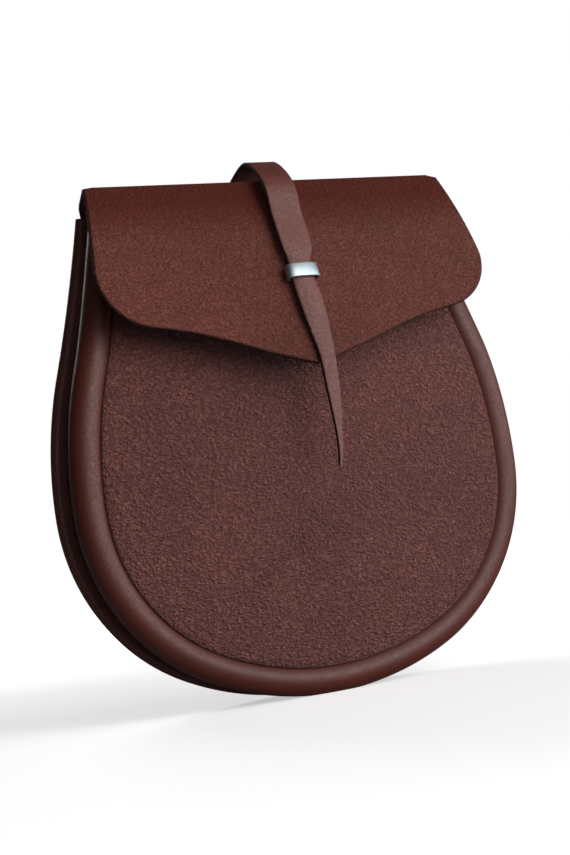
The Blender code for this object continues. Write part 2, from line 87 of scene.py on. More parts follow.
floor_mesh = bpy.data.meshes.new("floor")
half = FLOOR_SIZE / 2.0
corners = [(-half, -half, 0), (half, -half, 0), (half, half, 0), (-half, half, 0)]
floor_mesh.from_pydata(corners, [], [(0, 1, 2, 3)])
floor = bpy.data.objects.new("floor", floor_mesh)
bpy.context.scene.collection.objects.link(floor)
paint = bpy.data.materials.new("floor white")
paint.use_nodes = True
tree = paint.node_tree
tree.nodes.remove(tree.nodes["Principled BSDF"])
seen = tree.nodes.new("ShaderNodeLightPath").outputs["Is Camera Ray"]
white = tree.nodes.new("ShaderNodeBsdfDiffuse")
white.inputs["Color"].default_value = (FLOOR_WHITE, FLOOR_WHITE, FLOOR_WHITE, 1.0)
place = tree.nodes.new("ShaderNodeTexCoord").outputs["Object"]
away = tree.nodes.new("ShaderNodeVectorMath")
away.operation = "LENGTH"
tree.links.new(place, away.inputs[0])
fade = tree.nodes.new("ShaderNodeMapRange")
fade.interpolation_type = "SMOOTHSTEP"
tree.links.new(away.outputs["Value"], fade.inputs["Value"])
fade.inputs["From Min"].default_value = FLOOR_NEAR
fade.inputs["From Max"].default_value = FLOOR_FAR
fade.inputs["To Min"].default_value = FLOOR_GLOW
fade.inputs["To Max"].default_value = FLOOR_GLOW_AFAR
glow = tree.nodes.new("ShaderNodeEmission")
tree.links.new(fade.outputs[0], glow.inputs["Strength"])
bright = tree.nodes.new("ShaderNodeAddShader")
tree.links.new(white.outputs[0], bright.inputs[0])
tree.links.new(glow.outputs[0], bright.inputs[1])
dim = tree.nodes.new("ShaderNodeBsdfDiffuse")
dim.inputs["Color"].default_value = (FLOOR_BOUNCE, FLOOR_BOUNCE, FLOOR_BOUNCE, 1.0)
choice = tree.nodes.new("ShaderNodeMixShader")
tree.links.new(seen, choice.inputs[0])
tree.links.new(dim.outputs[0], choice.inputs[1])
tree.links.new(bright.outputs[0], choice.inputs[2])
tree.links.new(choice.outputs[0], tree.nodes["Material Output"].inputs["Surface"])
floor_mesh.materials.append(paint)

room = bpy.data.worlds.new("room")
room.use_nodes = True
tree = room.node_tree
seen = tree.nodes.new("ShaderNodeLightPath").outputs["Is Camera Ray"]
strength = tree.nodes.new("ShaderNodeMapRange")
tree.links.new(seen, strength.inputs["Value"])
strength.inputs["To Min"].default_value = ROOM_LIGHT
strength.inputs["To Max"].default_value = 1.0
tree.nodes["Background"].inputs["Color"].default_value = (1.0, 1.0, 1.0, 1.0)
tree.links.new(strength.outputs[0], tree.nodes["Background"].inputs["Strength"])
bpy.context.scene.world = room
bpy.context.scene.view_settings.view_transform = "Standard"

for name, right, up, power in LAMPS:
    lamp = bpy.data.lights.new(name, "AREA")
    lamp.size = LAMP_SIZE
    lamp.energy = power
    stand = bpy.data.objects.new(name, lamp)
    aside, up = radians(right), radians(up)
    way = Vector((sin(aside) * cos(up), -cos(aside) * cos(up), sin(up)))
    turned = (-way).to_track_quat("-Z", "Y").to_matrix().to_4x4()
    stand.matrix_world = Matrix.Translation(Vector((0.0, 0.0, LAMP_AIM)) + way * LAMP_DISTANCE) @ turned
    stand.visible_camera = False
    bpy.context.scene.collection.objects.link(stand)


# The front rim. A thin strip of smooth leather is rolled into a hollow roll round the front and sewn flat
# behind. Its lip turns in beside the front panel, and the cut edge of the sewn part shows as a faint line.
BOTTOM_RADIUS = 0.1194
HIP_RADIUS = 0.0784
SIDE_RADIUS = 0.1665
NECK_RADIUS = 0.700
BOTTOM_TURN = 25.8
HIP_TURN = 62.5
SIDE_TURN = 19.1
NECK_TURN = 5.2
FRONT_NECK_TURN = 4.6
FLOOR_PRESS = 0.0005
GAP = 0.0003
RIM_RADIUS = 0.0062
RIM_WALL = 0.002
RIM_EDGE_INSET = 0.0004
RIM_EDGE_BACK = 0.003
RIM_EDGE_WALL = 0.0014
RIM_LIP_ANGLE = 222.5
RIM_UNEVEN = 0.00012
MOUTH_LEAN = 0.0045
LEAN_START = 0.125
GUSSET_INSET = 0.0068
OUTLINE_STEP = 0.0016


def half_outline(neck_turn):
    """Places (x, z) and outward normals from the bottom centre up the right side, on four arcs."""
    places = [((0.0, -FLOOR_PRESS), (0.0, -1.0))]
    x, z, heading = 0.0, -FLOOR_PRESS, 0.0
    arcs = (
        (BOTTOM_RADIUS, BOTTOM_TURN),
        (HIP_RADIUS, HIP_TURN),
        (SIDE_RADIUS, SIDE_TURN),
        (-NECK_RADIUS, -neck_turn),
    )
    for radius, turn in arcs:
        centre_x = x - radius * sin(heading)
        centre_z = z + radius * cos(heading)
        steps = int(abs(radius * radians(turn)) / OUTLINE_STEP) + 1
        for k in range(1, steps + 1):
            angle = heading + radians(turn) * k / steps
            place = (centre_x + radius * sin(angle), centre_z - radius * cos(angle))
            places.append((place, (sin(angle), -cos(angle))))
        heading += radians(turn)
        (x, z), _ = places[-1]
    return places


def whole_outline(neck_turn):
    """The places from the left top, round the bottom, to the right top."""
    right = half_outline(neck_turn)
    left = [((-x, z), (-nx, nz)) for (x, z), (nx, nz) in reversed(right[1:])]
    return left + right


def outline_top(neck_turn):
    return half_outline(neck_turn)[-1][0][1]


def lean(z):
    """How far the front is set back at this height."""
    share = (z - LEAN_START) / (outline_top(FRONT_NECK_TURN) - LEAN_START)
    share = min(1.0, max(0.0, share))
    return MOUTH_LEAN * share * share * (3.0 - 2.0 * share)


def arc_points(centre, radius, start, end, steps):
    """Points (inset, y) on an arc of a section. Angle 0 is outward and 90 degrees is to the back."""
    points = []
    for k in range(steps + 1):
        angle = radians(start + (end - start) * k / steps)
        points.append((centre[0] - radius * cos(angle), centre[1] + radius * sin(angle)))
    return points


def swept(section, neck_turn, leaning, uneven=0.0):
    """A section of (inset, y) points carried round the outline, as rows of points."""
    rows = []
    for place, normal in whole_outline(neck_turn):
        row = []
        for inset, y in section:
            spot = Vector((place[0], y * 3.0, place[1])) * 28.0
            inset += uneven * noise.noise(spot)
            x = place[0] - inset * normal[0]
            z = place[1] - inset * normal[1]
            row.append((x, y + leaning(y) * lean(z), max(z, 0.0)))
        rows.append(row)
    return rows


def ring_faces(rows, count):
    """Faces round closed rows of points, from row to row, with both ends shut."""
    faces = []
    for row in range(rows - 1):
        for k in range(count):
            a = row * count + k
            b = row * count + (k + 1) % count
            faces.append((a, b, b + count, a + count))
    faces.append(tuple(reversed(range(count))))
    faces.append(tuple(range((rows - 1) * count, rows * count)))
    return faces


def add_piece(name, points, faces, material, marks=None, sharp=35.0):
    """A mesh piece that rides on the one body. Marks are numbers for each point that its material reads."""
    mesh = bpy.data.meshes.new(name)
    mesh.from_pydata([tuple(point) for point in points], [], faces)
    for label, values in (marks or {}).items():
        layer = mesh.attributes.new(label, "FLOAT", "POINT")
        layer.data.foreach_set("value", np.asarray(values, np.float32))
    mesh.shade_smooth()
    mesh.set_sharp_from_angle(angle=radians(sharp))
    mesh.materials.append(material)
    thing = bpy.data.objects.new(name, mesh)
    bpy.context.scene.collection.objects.link(thing)
    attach(thing, "root")
    return thing


def add_strip(name, rows, material, marks, sharp=35.0):
    """A piece made of closed rows of points. Its marks are for the points of one row."""
    points = [point for row in rows for point in row]
    marks = {label: values * len(rows) for label, values in marks.items()}
    return add_piece(name, points, ring_faces(len(rows), len(rows[0])), material, marks, sharp)


def new_group(name, inputs, outputs):
    """An empty node group with its input and output nodes. An input without a value is a place."""
    group = bpy.data.node_groups.new(name, "ShaderNodeTree")
    for label, value in inputs.items():
        kind = "NodeSocketVector" if value is None else "NodeSocketFloat"
        socket = group.interface.new_socket(label, in_out="INPUT", socket_type=kind)
        if value is not None:
            socket.default_value = value
    for label in outputs:
        group.interface.new_socket(label, in_out="OUTPUT", socket_type="NodeSocketFloat")
    return group, group.nodes.new("NodeGroupInput"), group.nodes.new("NodeGroupOutput")


def node(tree, kind, links=None, **settings):
    """A new node with its settings made and its inputs set or linked."""
    made = tree.nodes.new(kind)
    for label, value in settings.items():
        setattr(made, label, value)
    for label, value in (links or {}).items():
        socket = made.inputs[label]
        if isinstance(value, bpy.types.NodeSocket):
            tree.links.new(value, socket)
        else:
            socket.default_value = value
    return made


def maths(tree, operation, *values):
    """The result of a Math node on sockets or numbers."""
    return node(tree, "ShaderNodeMath", dict(enumerate(values)), operation=operation).outputs[0]


def mixed(tree, factor, first, second):
    """Colour first where the factor is 0 and second where it is 1."""
    return node(tree, "ShaderNodeMix", {0: factor, 6: first, 7: second}, data_type="RGBA").outputs[2]


def new_material(name):
    """A material with its node tree, its shader and the place on the piece that patterns are read at."""
    material = bpy.data.materials.new(name)
    material.use_nodes = True
    tree = material.node_tree
    place = node(tree, "ShaderNodeTexCoord").outputs["Object"]
    return material, tree, tree.nodes["Principled BSDF"], place


GRAIN_SLANT = (0.0, 0.65, 0.0)
GRAIN_STRETCH = (0.78, 1.0, 1.2)
DRIFT_REACH = 2.0
DRIFT_RATE = 0.6
FURROW_RATE = 0.75
BUMP_RATE = 1.1
PORE_RATE = 2.4
DOME_WIDTH = 0.36
DOME_DEPTH = 0.22
FURROW_WIDTH = 0.12
FURROW_DEPTH = 0.22
BUMP_DEPTH = 1.3
CREASE_START = 1.12
CREASE_FULL = 0.68
TONE_SCALE = 22.0


def make_grain_group():
    """Leather grain as a height and masks: warped pebbles crossed by short meandering creases, with pores."""
    inputs = {"Place": None, "Pebble Size": 0.001, "Creases": 1.0, "Pores": 0.4}
    group, given, result = new_group("leather grain", inputs, ("Height", "Crease", "Tone"))
    slanted = node(group, "ShaderNodeMapping", {"Vector": given.outputs["Place"]})
    slanted.inputs["Rotation"].default_value = GRAIN_SLANT
    slanted.inputs["Scale"].default_value = GRAIN_STRETCH
    frequency = maths(group, "DIVIDE", 1.0, given.outputs["Pebble Size"])
    drift = node(group, "ShaderNodeTexNoise", {"Vector": slanted.outputs[0], "Detail": 3.0, "Roughness": 0.6})
    group.links.new(maths(group, "MULTIPLY", frequency, DRIFT_RATE), drift.inputs["Scale"])
    centre = (0.5, 0.5, 0.5)
    centred = node(group, "ShaderNodeVectorMath", {0: drift.outputs["Color"], 1: centre})
    centred.operation = "SUBTRACT"
    reach = maths(group, "MULTIPLY", given.outputs["Pebble Size"], DRIFT_REACH)
    shift = node(group, "ShaderNodeVectorMath", {0: centred.outputs[0], "Scale": reach}, operation="SCALE")
    moved = node(group, "ShaderNodeVectorMath", {0: slanted.outputs[0], 1: shift.outputs[0]}, operation="ADD")
    cells = node(group, "ShaderNodeTexVoronoi", {"Vector": moved.outputs[0]})
    cells.feature = "DISTANCE_TO_EDGE"
    group.links.new(frequency, cells.inputs["Scale"])
    dome = node(group, "ShaderNodeMapRange", {"Value": cells.outputs["Distance"], "From Max": DOME_WIDTH})
    dome.interpolation_type = "SMOOTHERSTEP"
    wander = node(group, "ShaderNodeTexNoise", {"Vector": moved.outputs[0], "Detail": 2.0, "Roughness": 0.5})
    group.links.new(maths(group, "MULTIPLY", frequency, FURROW_RATE), wander.inputs["Scale"])
    line = maths(group, "ABSOLUTE", maths(group, "SUBTRACT", wander.outputs[0], 0.5))
    furrow = node(group, "ShaderNodeMapRange", {"Value": line, "From Max": FURROW_WIDTH})
    furrow.interpolation_type = "SMOOTHERSTEP"
    bumps = node(group, "ShaderNodeTexNoise", {"Vector": slanted.outputs[0], "Detail": 2.5, "Roughness": 0.5})
    bumps.inputs["Distortion"].default_value = 0.4
    group.links.new(maths(group, "MULTIPLY", frequency, BUMP_RATE), bumps.inputs["Scale"])
    pebbles = maths(group, "MULTIPLY", dome.outputs[0], DOME_DEPTH)
    pebbles = maths(group, "MULTIPLY_ADD", furrow.outputs[0], FURROW_DEPTH, pebbles)
    pebbles = maths(group, "MULTIPLY_ADD", bumps.outputs[0], BUMP_DEPTH, pebbles)
    fine = node(group, "ShaderNodeTexNoise", {"Vector": given.outputs["Place"], "Detail": 4.0})
    fine.inputs["Roughness"].default_value = 0.6
    group.links.new(maths(group, "MULTIPLY", frequency, PORE_RATE), fine.inputs["Scale"])
    height = maths(group, "MULTIPLY", pebbles, given.outputs["Creases"])
    pores = maths(group, "MULTIPLY", fine.outputs[0], given.outputs["Pores"])
    group.links.new(maths(group, "ADD", height, pores), result.inputs["Height"])
    depth = node(group, "ShaderNodeMapRange", {"Value": pebbles, "From Min": CREASE_START})
    depth.inputs["From Max"].default_value = CREASE_FULL
    group.links.new(depth.outputs[0], result.inputs["Crease"])
    broad = node(group, "ShaderNodeTexNoise", {"Vector": given.outputs["Place"], "Scale": TONE_SCALE})
    broad.inputs["Detail"].default_value = 5.0
    group.links.new(broad.outputs[0], result.inputs["Tone"])
    return group


grain_group = make_grain_group()
BROWN_CUT = (0.105, 0.046, 0.034)
# Painted shade: the top of the fold and of the strap's arch gets a darker, redder colour and rougher leather.
TOP_SHADE_COLOUR = (0.46, 0.20, 0.12)
TOP_SHADE_SHARE = 0.9
TONE_DARKER = 0.84
TONE_LIGHTER = 1.18
# How far the grain's creases are darkened towards the deep colour: partly their own tone, partly painted
# shade.
CREASE_SHADE_SHARE = 0.6
FIBRE_SCALE = 1900.0
RAW_SHADE = 0.45
CREASE_ROUGHER = 0.18
RAW_ROUGHER = 0.35
TOP_SHADE_ROUGHER = 0.65
ROUGHEST = 0.95


def scaled(colour, share):
    """The colour times a number, or times one for each channel, with an alpha of 1."""
    return (*np.minimum(1.0, np.multiply(colour, share)).tolist(), 1.0)


def leather(name, colour, deep, pebble, relief, roughness, creases, pores, cut=BROWN_CUT, specular=0.5):
    """A finished leather: grain, slow changes of tone, cut edges, a flesh side and painted shade on its top.

    Colour is the open grain and deep is its creases, darker there partly by their own tone and partly by
    painted shade. Pebble is the grain's size and relief its depth, in metres. The marks on the mesh say where
    the cut edges, the flesh side and the painted shade on the highest parts lie.
    """
    material, tree, shader, place = new_material(name)
    grain = node(tree, "ShaderNodeGroup", node_tree=grain_group)
    settings = {"Pebble Size": pebble, "Creases": creases, "Pores": pores}
    for label, value in settings.items():
        grain.inputs[label].default_value = value
    tree.links.new(place, grain.inputs["Place"])
    cut_mark = node(tree, "ShaderNodeAttribute", attribute_name="cut").outputs["Fac"]
    flesh_mark = node(tree, "ShaderNodeAttribute", attribute_name="flesh").outputs["Fac"]
    tone = node(tree, "ShaderNodeMapRange", {"Value": grain.outputs["Tone"], "From Min": 0.3})
    tone.inputs["From Max"].default_value = 0.7
    face = mixed(tree, tone.outputs[0], scaled(colour, TONE_DARKER), scaled(colour, TONE_LIGHTER))
    # The creases are darkened: partly the leather's own tone there, partly painted shade.
    face = mixed(tree, maths(tree, "MULTIPLY", grain.outputs["Crease"], CREASE_SHADE_SHARE), face, (*deep, 1.0))
    fibre = node(tree, "ShaderNodeTexNoise", {"Vector": place, "Scale": FIBRE_SCALE, "Detail": 3.0})
    edge = mixed(tree, fibre.outputs[0], scaled(cut, RAW_SHADE), scaled(cut, 1.0))
    suede = mixed(tree, fibre.outputs[0], scaled(colour, 0.5), scaled(colour, 1.1))
    top_shade_mark = node(tree, "ShaderNodeAttribute", attribute_name="top_shade").outputs["Fac"]
    # Painted shade on the highest parts of a piece.
    face = mixed(tree, maths(tree, "MULTIPLY", top_shade_mark, TOP_SHADE_SHARE), face, scaled(colour, TOP_SHADE_COLOUR))
    face = mixed(tree, flesh_mark, face, suede)
    face = mixed(tree, cut_mark, face, edge)
    tree.links.new(face, shader.inputs["Base Color"])
    raw_mark = maths(tree, "MAXIMUM", cut_mark, flesh_mark)
    rough = maths(tree, "MULTIPLY_ADD", grain.outputs["Crease"], CREASE_ROUGHER, roughness)
    rough = maths(tree, "MULTIPLY_ADD", raw_mark, RAW_ROUGHER, rough)
    rough = maths(tree, "MULTIPLY_ADD", top_shade_mark, TOP_SHADE_ROUGHER, rough)
    rough = maths(tree, "MINIMUM", rough, ROUGHEST)
    tree.links.new(rough, shader.inputs["Roughness"])
    lift = maths(tree, "MULTIPLY", fibre.outputs[0], raw_mark)
    height = maths(tree, "ADD", grain.outputs["Height"], lift)
    bump = node(tree, "ShaderNodeBump", {"Height": height, "Distance": relief, "Strength": 1.0})
    tree.links.new(bump.outputs[0], shader.inputs["Normal"])
    shader.inputs["Specular IOR Level"].default_value = specular
    return material


def front_rim_section():
    """Points (inset, y) of the roll, and for each point how much of it is a cut edge or flesh side."""
    centre = (RIM_RADIUS, 0.0)
    inner_radius = RIM_RADIUS - RIM_WALL
    edge_front = RIM_EDGE_BACK - RIM_EDGE_WALL
    outer_end = degrees(asin(edge_front / RIM_RADIUS)) - 1.0
    inner_end = degrees(asin(edge_front / inner_radius))
    lip = RIM_LIP_ANGLE - 360.0
    edge_end = GUSSET_INSET - GAP
    bevel = RIM_EDGE_WALL * 0.18
    parts = (
        (arc_points(centre, RIM_RADIUS, lip + 2.0, outer_end, 44), 0.0, 0.0),
        ([(RIM_EDGE_INSET + bevel, edge_front)], 0.2, 0.0),
        ([(RIM_EDGE_INSET, edge_front + bevel), (RIM_EDGE_INSET, RIM_EDGE_BACK - bevel)], 1.0, 0.0),
        ([(RIM_EDGE_INSET + bevel, RIM_EDGE_BACK)], 0.3, 0.0),
        ([(edge_end, RIM_EDGE_BACK), (edge_end, edge_front)], 0.0, 1.0),
        (arc_points(centre, inner_radius, inner_end, lip + 2.0, 14), 0.0, 1.0),
        (arc_points(centre, (RIM_RADIUS + inner_radius) / 2.0, lip, lip + 1.0, 1)[:1], 1.0, 0.0),
    )
    section = []
    cut = []
    flesh = []
    for points, cut_share, flesh_share in parts:
        section += points
        cut += [cut_share] * len(points)
        flesh += [flesh_share] * len(points)
    return section, cut, flesh


smooth_brown = leather(
    "smooth leather", colour=(0.112, 0.0190, 0.0100), deep=(0.055, 0.009, 0.0045),
    pebble=0.0009, relief=0.00006, roughness=0.40, creases=0.5, pores=0.5
)
section, cut, flesh = front_rim_section()
rows = swept(section, FRONT_NECK_TURN, lambda y: 1.0, RIM_UNEVEN)
front_rim = add_strip("front_rim_roll", rows, smooth_brown, {"cut": cut, "flesh": flesh})
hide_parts("front_rim")


# The front panel. One firm piece of pebbled leather, a little domed, whose border dips into the crease
# beside the rolled rim and ends on a straight cut at the mouth.
PANEL_WALL = 0.002
PANEL_CREASE_ANGLE = 227.0
PANEL_EDGE_GAP = 0.00038
PANEL_DOME = 0.0020
PANEL_SHOULDER = 0.0008
PANEL_SHOULDER_WIDTH = 0.0017
PANEL_TOP_DROP = 0.003
PANEL_HALF_WIDTH = 0.086
PANEL_SPACING = 0.0022
PANEL_SWELL = 0.00016
PANEL_FIRST_ROW = 0.008
PANEL_LAST_MARGIN = 0.001


def border_distance(spots, border):
    """The distance from each spot to a closed line of points."""
    spots = np.asarray(spots)
    starts = np.asarray(border)
    runs = np.roll(starts, -1, axis=0) - starts
    lengths = (runs * runs).sum(1) + 1e-18
    nearest = np.full(len(spots), np.inf)
    for start, run, length in zip(starts, runs, lengths):
        share = np.clip(((spots - start) @ run) / length, 0.0, 1.0)
        gaps = spots - start - share[:, None] * run
        nearest = np.minimum(nearest, np.hypot(gaps[:, 0], gaps[:, 1]))
    return nearest


def inside(spots, border):
    """Which spots lie inside a closed line of points."""
    spots = np.asarray(spots)
    within = np.zeros(len(spots), bool)
    for (x1, y1), (x2, y2) in zip(border, np.roll(border, -1, axis=0)):
        crosses = (y1 > spots[:, 1]) != (y2 > spots[:, 1])
        at = x1 + (spots[:, 1] - y1) * (x2 - x1) / ((y2 - y1) or 1e-18)
        within ^= crosses & (spots[:, 0] < at)
    return within


def cut_sheet(border, across, along, wall):
    """A flat cut of leather as triangles: its spots, their distance to the cut, and the faces.

    Across and along are the lines on which inner spots lie. Rings close to the border let it be rounded.
    """
    border = np.asarray(border)
    before = np.roll(border, 1, axis=0)
    after = np.roll(border, -1, axis=0)
    way = after - before
    way /= np.hypot(way[:, 0], way[:, 1])[:, None]
    inward = np.stack([-way[:, 1], way[:, 0]], 1)
    area = (border[:, 0] * after[:, 1] - after[:, 0] * border[:, 1]).sum()
    inward *= 1.0 if area > 0 else -1.0
    spots = [border]
    for share in (0.16, 0.42, 0.85):
        ring = border + inward * wall * share
        keep = inside(ring, border) & (border_distance(ring, border) > wall * share * 0.8)
        spots.append(ring[keep])
    grid = np.array([(u + (0.25 if row % 2 else -0.25) * (across[1] - across[0]), v)
                     for row, v in enumerate(along) for u in across])
    keep = inside(grid, border)
    grid = grid[keep]
    grid = grid[border_distance(grid, border) > wall * 1.25]
    spots = np.concatenate(spots + [grid])
    count = len(border)
    made = delaunay_2d_cdt([Vector(spot) for spot in spots], [], [list(range(count))], 1, 1e-7)
    flat = np.array([tuple(spot) for spot in made[0]])
    return flat, border_distance(flat, border), made[2]


def leather_sheet(border, across, along, wall, place):
    """Points, faces and marks of a cut of leather with both its sides and a rounded cut edge.

    Place gives the point for a spot of the flat cut, a distance out of its middle and one from its edge.
    """
    flat, distance, faces = cut_sheet(border, across, along, wall)
    round_off = np.clip(distance / (wall * 0.42), 0.0, 1.0)
    thickness = wall / 2.0 * (0.55 + 0.45 * np.sqrt(1.0 - (1.0 - round_off) ** 2))
    points = []
    for side in (1.0, -1.0):
        points += [place(u, v, side * t, d) for (u, v), t, d in zip(flat, thickness, distance)]
    total = len(flat)
    outer = [tuple(face) for face in faces]
    inner = [tuple(total + k for k in reversed(face)) for face in faces]
    sides = {}
    for face in outer:
        for a, b in zip(face, face[1:] + face[:1]):
            sides[(a, b)] = True
    rim = [(b, a, total + a, total + b) for a, b in sides if (b, a) not in sides]
    near = np.clip(1.0 - distance / (wall * 0.3), 0.0, 1.0)
    marks = {
        "cut": np.concatenate([near, near]),
        "flesh": np.concatenate([np.zeros(total), np.ones(total)]),
    }
    return points, outer + inner + rim, marks


def steps_between(low, high, spacing):
    count = max(1, round((high - low) / spacing))
    return [low + (high - low) * k / count for k in range(count + 1)]


crease = radians(PANEL_CREASE_ANGLE)
reach = RIM_RADIUS + PANEL_EDGE_GAP
panel_inset = RIM_RADIUS - reach * cos(crease)
panel_edge_y = reach * sin(crease)
mouth = outline_top(FRONT_NECK_TURN) - PANEL_TOP_DROP
panel_middle = mouth / 2.0


def panel_place(x, z, out, distance):
    """A point of the panel: down in the crease at its border and domed in its middle."""
    share = min(1.0, distance / PANEL_SHOULDER_WIDTH)
    rise = PANEL_SHOULDER * (1.0 - (1.0 - share) ** 2.2)
    spread = (x / PANEL_HALF_WIDTH) ** 2 + ((z - panel_middle) / panel_middle) ** 2
    rise += PANEL_DOME * max(0.0, 1.0 - spread) * share
    rise += PANEL_SWELL * noise.noise(Vector((x * 26.0, z * 21.0, 3.7))) * share
    y = panel_edge_y + PANEL_WALL / 2.0 - rise - out
    return x, y + lean(z), z


border = []
for (x, z), (nx, nz) in whole_outline(FRONT_NECK_TURN):
    x, z = x - panel_inset * nx, z - panel_inset * nz
    if z < mouth - OUTLINE_STEP / 2.0:
        border.append((x, z))
corner = border[-1][0]
border += [(x, mouth) for x in steps_between(corner, -corner, -OUTLINE_STEP)]
pebbled_brown = leather(
    "pebbled leather", colour=(0.235, 0.0760, 0.0650), deep=(0.050, 0.0105, 0.0085),
    pebble=0.00140, relief=0.00160, roughness=0.33, creases=1.0, pores=0.15
)
across = steps_between(-PANEL_HALF_WIDTH, PANEL_HALF_WIDTH, PANEL_SPACING)
along = steps_between(PANEL_FIRST_ROW, mouth - PANEL_LAST_MARGIN, PANEL_SPACING)
points, faces, marks = leather_sheet(border, across, along, PANEL_WALL, panel_place)
front_panel = add_piece("front_panel_sheet", points, faces, pebbled_brown, marks)
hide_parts("front_panel")


# The gusset. A strip of leather stands on edge between the front and the back and makes the depth of the
# pouch. It sinks a little between its two seams, so the side shows as a deep groove. Its dark colour is
# partly the leather's own and partly painted shade of that groove.
GUSSET_WALL = 0.0016
GUSSET_TUCK = 0.003
GUSSET_SINK = 0.0012
REAR_RADIUS = 0.0026
REAR_WALL = 0.0013
REAR_DEPTH = 0.012
POUCH_DEPTH = 0.0224
GUSSET_STEPS = 12

# Dark leather for the gusset and the rear rim: partly their own tone, partly painted shade of the deep
# groove.
dark_and_groove_shade_brown = leather(
    "dark leather with painted groove shade", colour=(0.150, 0.0400, 0.0290), deep=(0.060, 0.013, 0.009),
    pebble=0.0008, relief=0.00003, roughness=0.40, creases=0.6, pores=0.5
)
start = RIM_EDGE_BACK - RIM_EDGE_WALL - GUSSET_TUCK
end = POUCH_DEPTH - REAR_RADIUS - GAP
outer = []
for k in range(GUSSET_STEPS + 1):
    y = start + (end - start) * k / GUSSET_STEPS
    share = min(1.0, max(0.0, (y - RIM_EDGE_BACK - GAP) / (end - RIM_EDGE_BACK - GAP)))
    outer.append((GUSSET_INSET + GUSSET_SINK * sin(pi * share) ** 2, y))
inner = [(inset + GUSSET_WALL, y) for inset, y in reversed(outer)]
section = outer + inner


def gusset_lean(y):
    return min(1.0, max(0.0, (end - y) / (end - RIM_EDGE_BACK - GAP)))


rows = swept(section, FRONT_NECK_TURN, gusset_lean)
marks = {"flesh": [0.0] * len(outer) + [1.0] * len(inner)}
gusset = add_strip("gusset_strip", rows, dark_and_groove_shade_brown, marks, 60.0)
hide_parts("gusset")


# The rear rim. A strip of the gusset's leather is folded over the edge of the back, so that a leg lies on
# each side of it, and sewn through. Its cut ends show at the mouth. Its dark colour is partly the leather's
# own and partly painted shade of the groove that its front leg faces.
def rear_rim_section():
    centre = (REAR_RADIUS, POUCH_DEPTH)
    slot_radius = REAR_RADIUS - REAR_WALL
    outer = arc_points(centre, REAR_RADIUS, -90.0, 90.0, 20)
    inner = arc_points(centre, slot_radius, 90.0, -90.0, 10)
    near, far = outer[0][1], outer[-1][1]
    bevel = REAR_WALL * 0.25
    front_leg = [(REAR_DEPTH, near + bevel), (REAR_DEPTH - bevel, near), (REAR_DEPTH * 0.6, near)]
    rear_leg = [(REAR_DEPTH * 0.6, far), (REAR_DEPTH - bevel, far), (REAR_DEPTH, far - bevel)]
    slot_ends = [(REAR_DEPTH, inner[0][1])], [(REAR_DEPTH, inner[-1][1])]
    section = front_leg + outer + rear_leg + slot_ends[0] + inner + slot_ends[1]
    cut = [1.0, 0.3, 0.0] + [0.0] * len(outer) + [0.0, 0.3, 1.0] + [1.0] + [0.0] * len(inner) + [1.0]
    return section, cut


section, cut = rear_rim_section()
rows = swept(section, NECK_TURN, lambda y: 0.0, RIM_UNEVEN)
rear_rim = add_strip("rear_rim_fold", rows, dark_and_groove_shade_brown, {"cut": cut})
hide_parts("rear_rim")


# The back and the flap. One sheet stands up as the back, bends forward over the mouth, folds down and
# hangs in front as a flap with rounded corners and a low point in the middle.
BACK_WALL = 0.002
BACK_BEND_RADIUS = 0.0043
ROOF_SLOPE = 4.5
FOLD_SPAN = 0.0235
FOLD_RADIUS = 0.0024
FOLD_HALF_WIDTH = 0.0774
FLAP_START_SLOPE = 58.5
FLAP_UPPER_RADIUS = 0.140
FLAP_UPPER_TURN = 16.0
FLAP_LOWER_RADIUS = 0.155
FLAP_HALF_WIDTH = 0.0831
FLAP_CORNER_RADIUS = 0.0218
FLAP_CORNER_TURN = 79.3
FLAP_CORNER_DROP = 0.0603
FLAP_TIP_DROP = 0.0788
FLAP_BOW = 0.0009
FLAP_WAVE = 0.0006
FLAP_SWELL = 1.1
FLAP_RIPPLE = 0.00035
# The painted shade on the top of the fold: how far down it reaches and how strong it is.
TOP_SHADE_FADE = 0.026
TOP_SHADE_STRENGTH = 1.5
SHEET_SPACING = 0.0024
SHEET_HALF_WIDTH = 0.098
ROOF_MARGIN = 0.0008
FLAP_MARGIN = 0.001
BEND_SPACING = 0.0006
FOLD_SPACING = 0.00045


class Path:
    """A route in the (y, z) plane made of straight runs and arcs, read by its length."""

    def __init__(self, y, z, slope):
        self.runs = []
        self.length = 0.0
        self.end = (y, z, radians(slope))

    def straight(self, length):
        self.runs.append((self.length, length, *self.end, None))
        self.length += length
        self.end = self._on_run(self.runs[-1], length)
        return self

    def arc(self, radius, turn):
        """An arc that turns by so many degrees to the left of the way it runs."""
        length = radius * radians(turn)
        self.runs.append((self.length, length, *self.end, radius))
        self.length += length
        self.end = self._on_run(self.runs[-1], length)
        return self

    @staticmethod
    def _on_run(run, distance):
        _, _, y, z, angle, bend = run
        if bend is None:
            return y + distance * cos(angle), z + distance * sin(angle), angle
        after = angle + distance / bend
        return y + bend * (sin(after) - sin(angle)), z - bend * (cos(after) - cos(angle)), after

    def at(self, distance):
        """Place (y, z) and heading at this length. Past its end the path goes straight on."""
        for run in self.runs:
            if distance <= run[0] + run[1]:
                return self._on_run(run, distance - run[0])
        y, z, angle = self.end
        rest = distance - self.length
        return y + rest * cos(angle), z + rest * sin(angle), angle


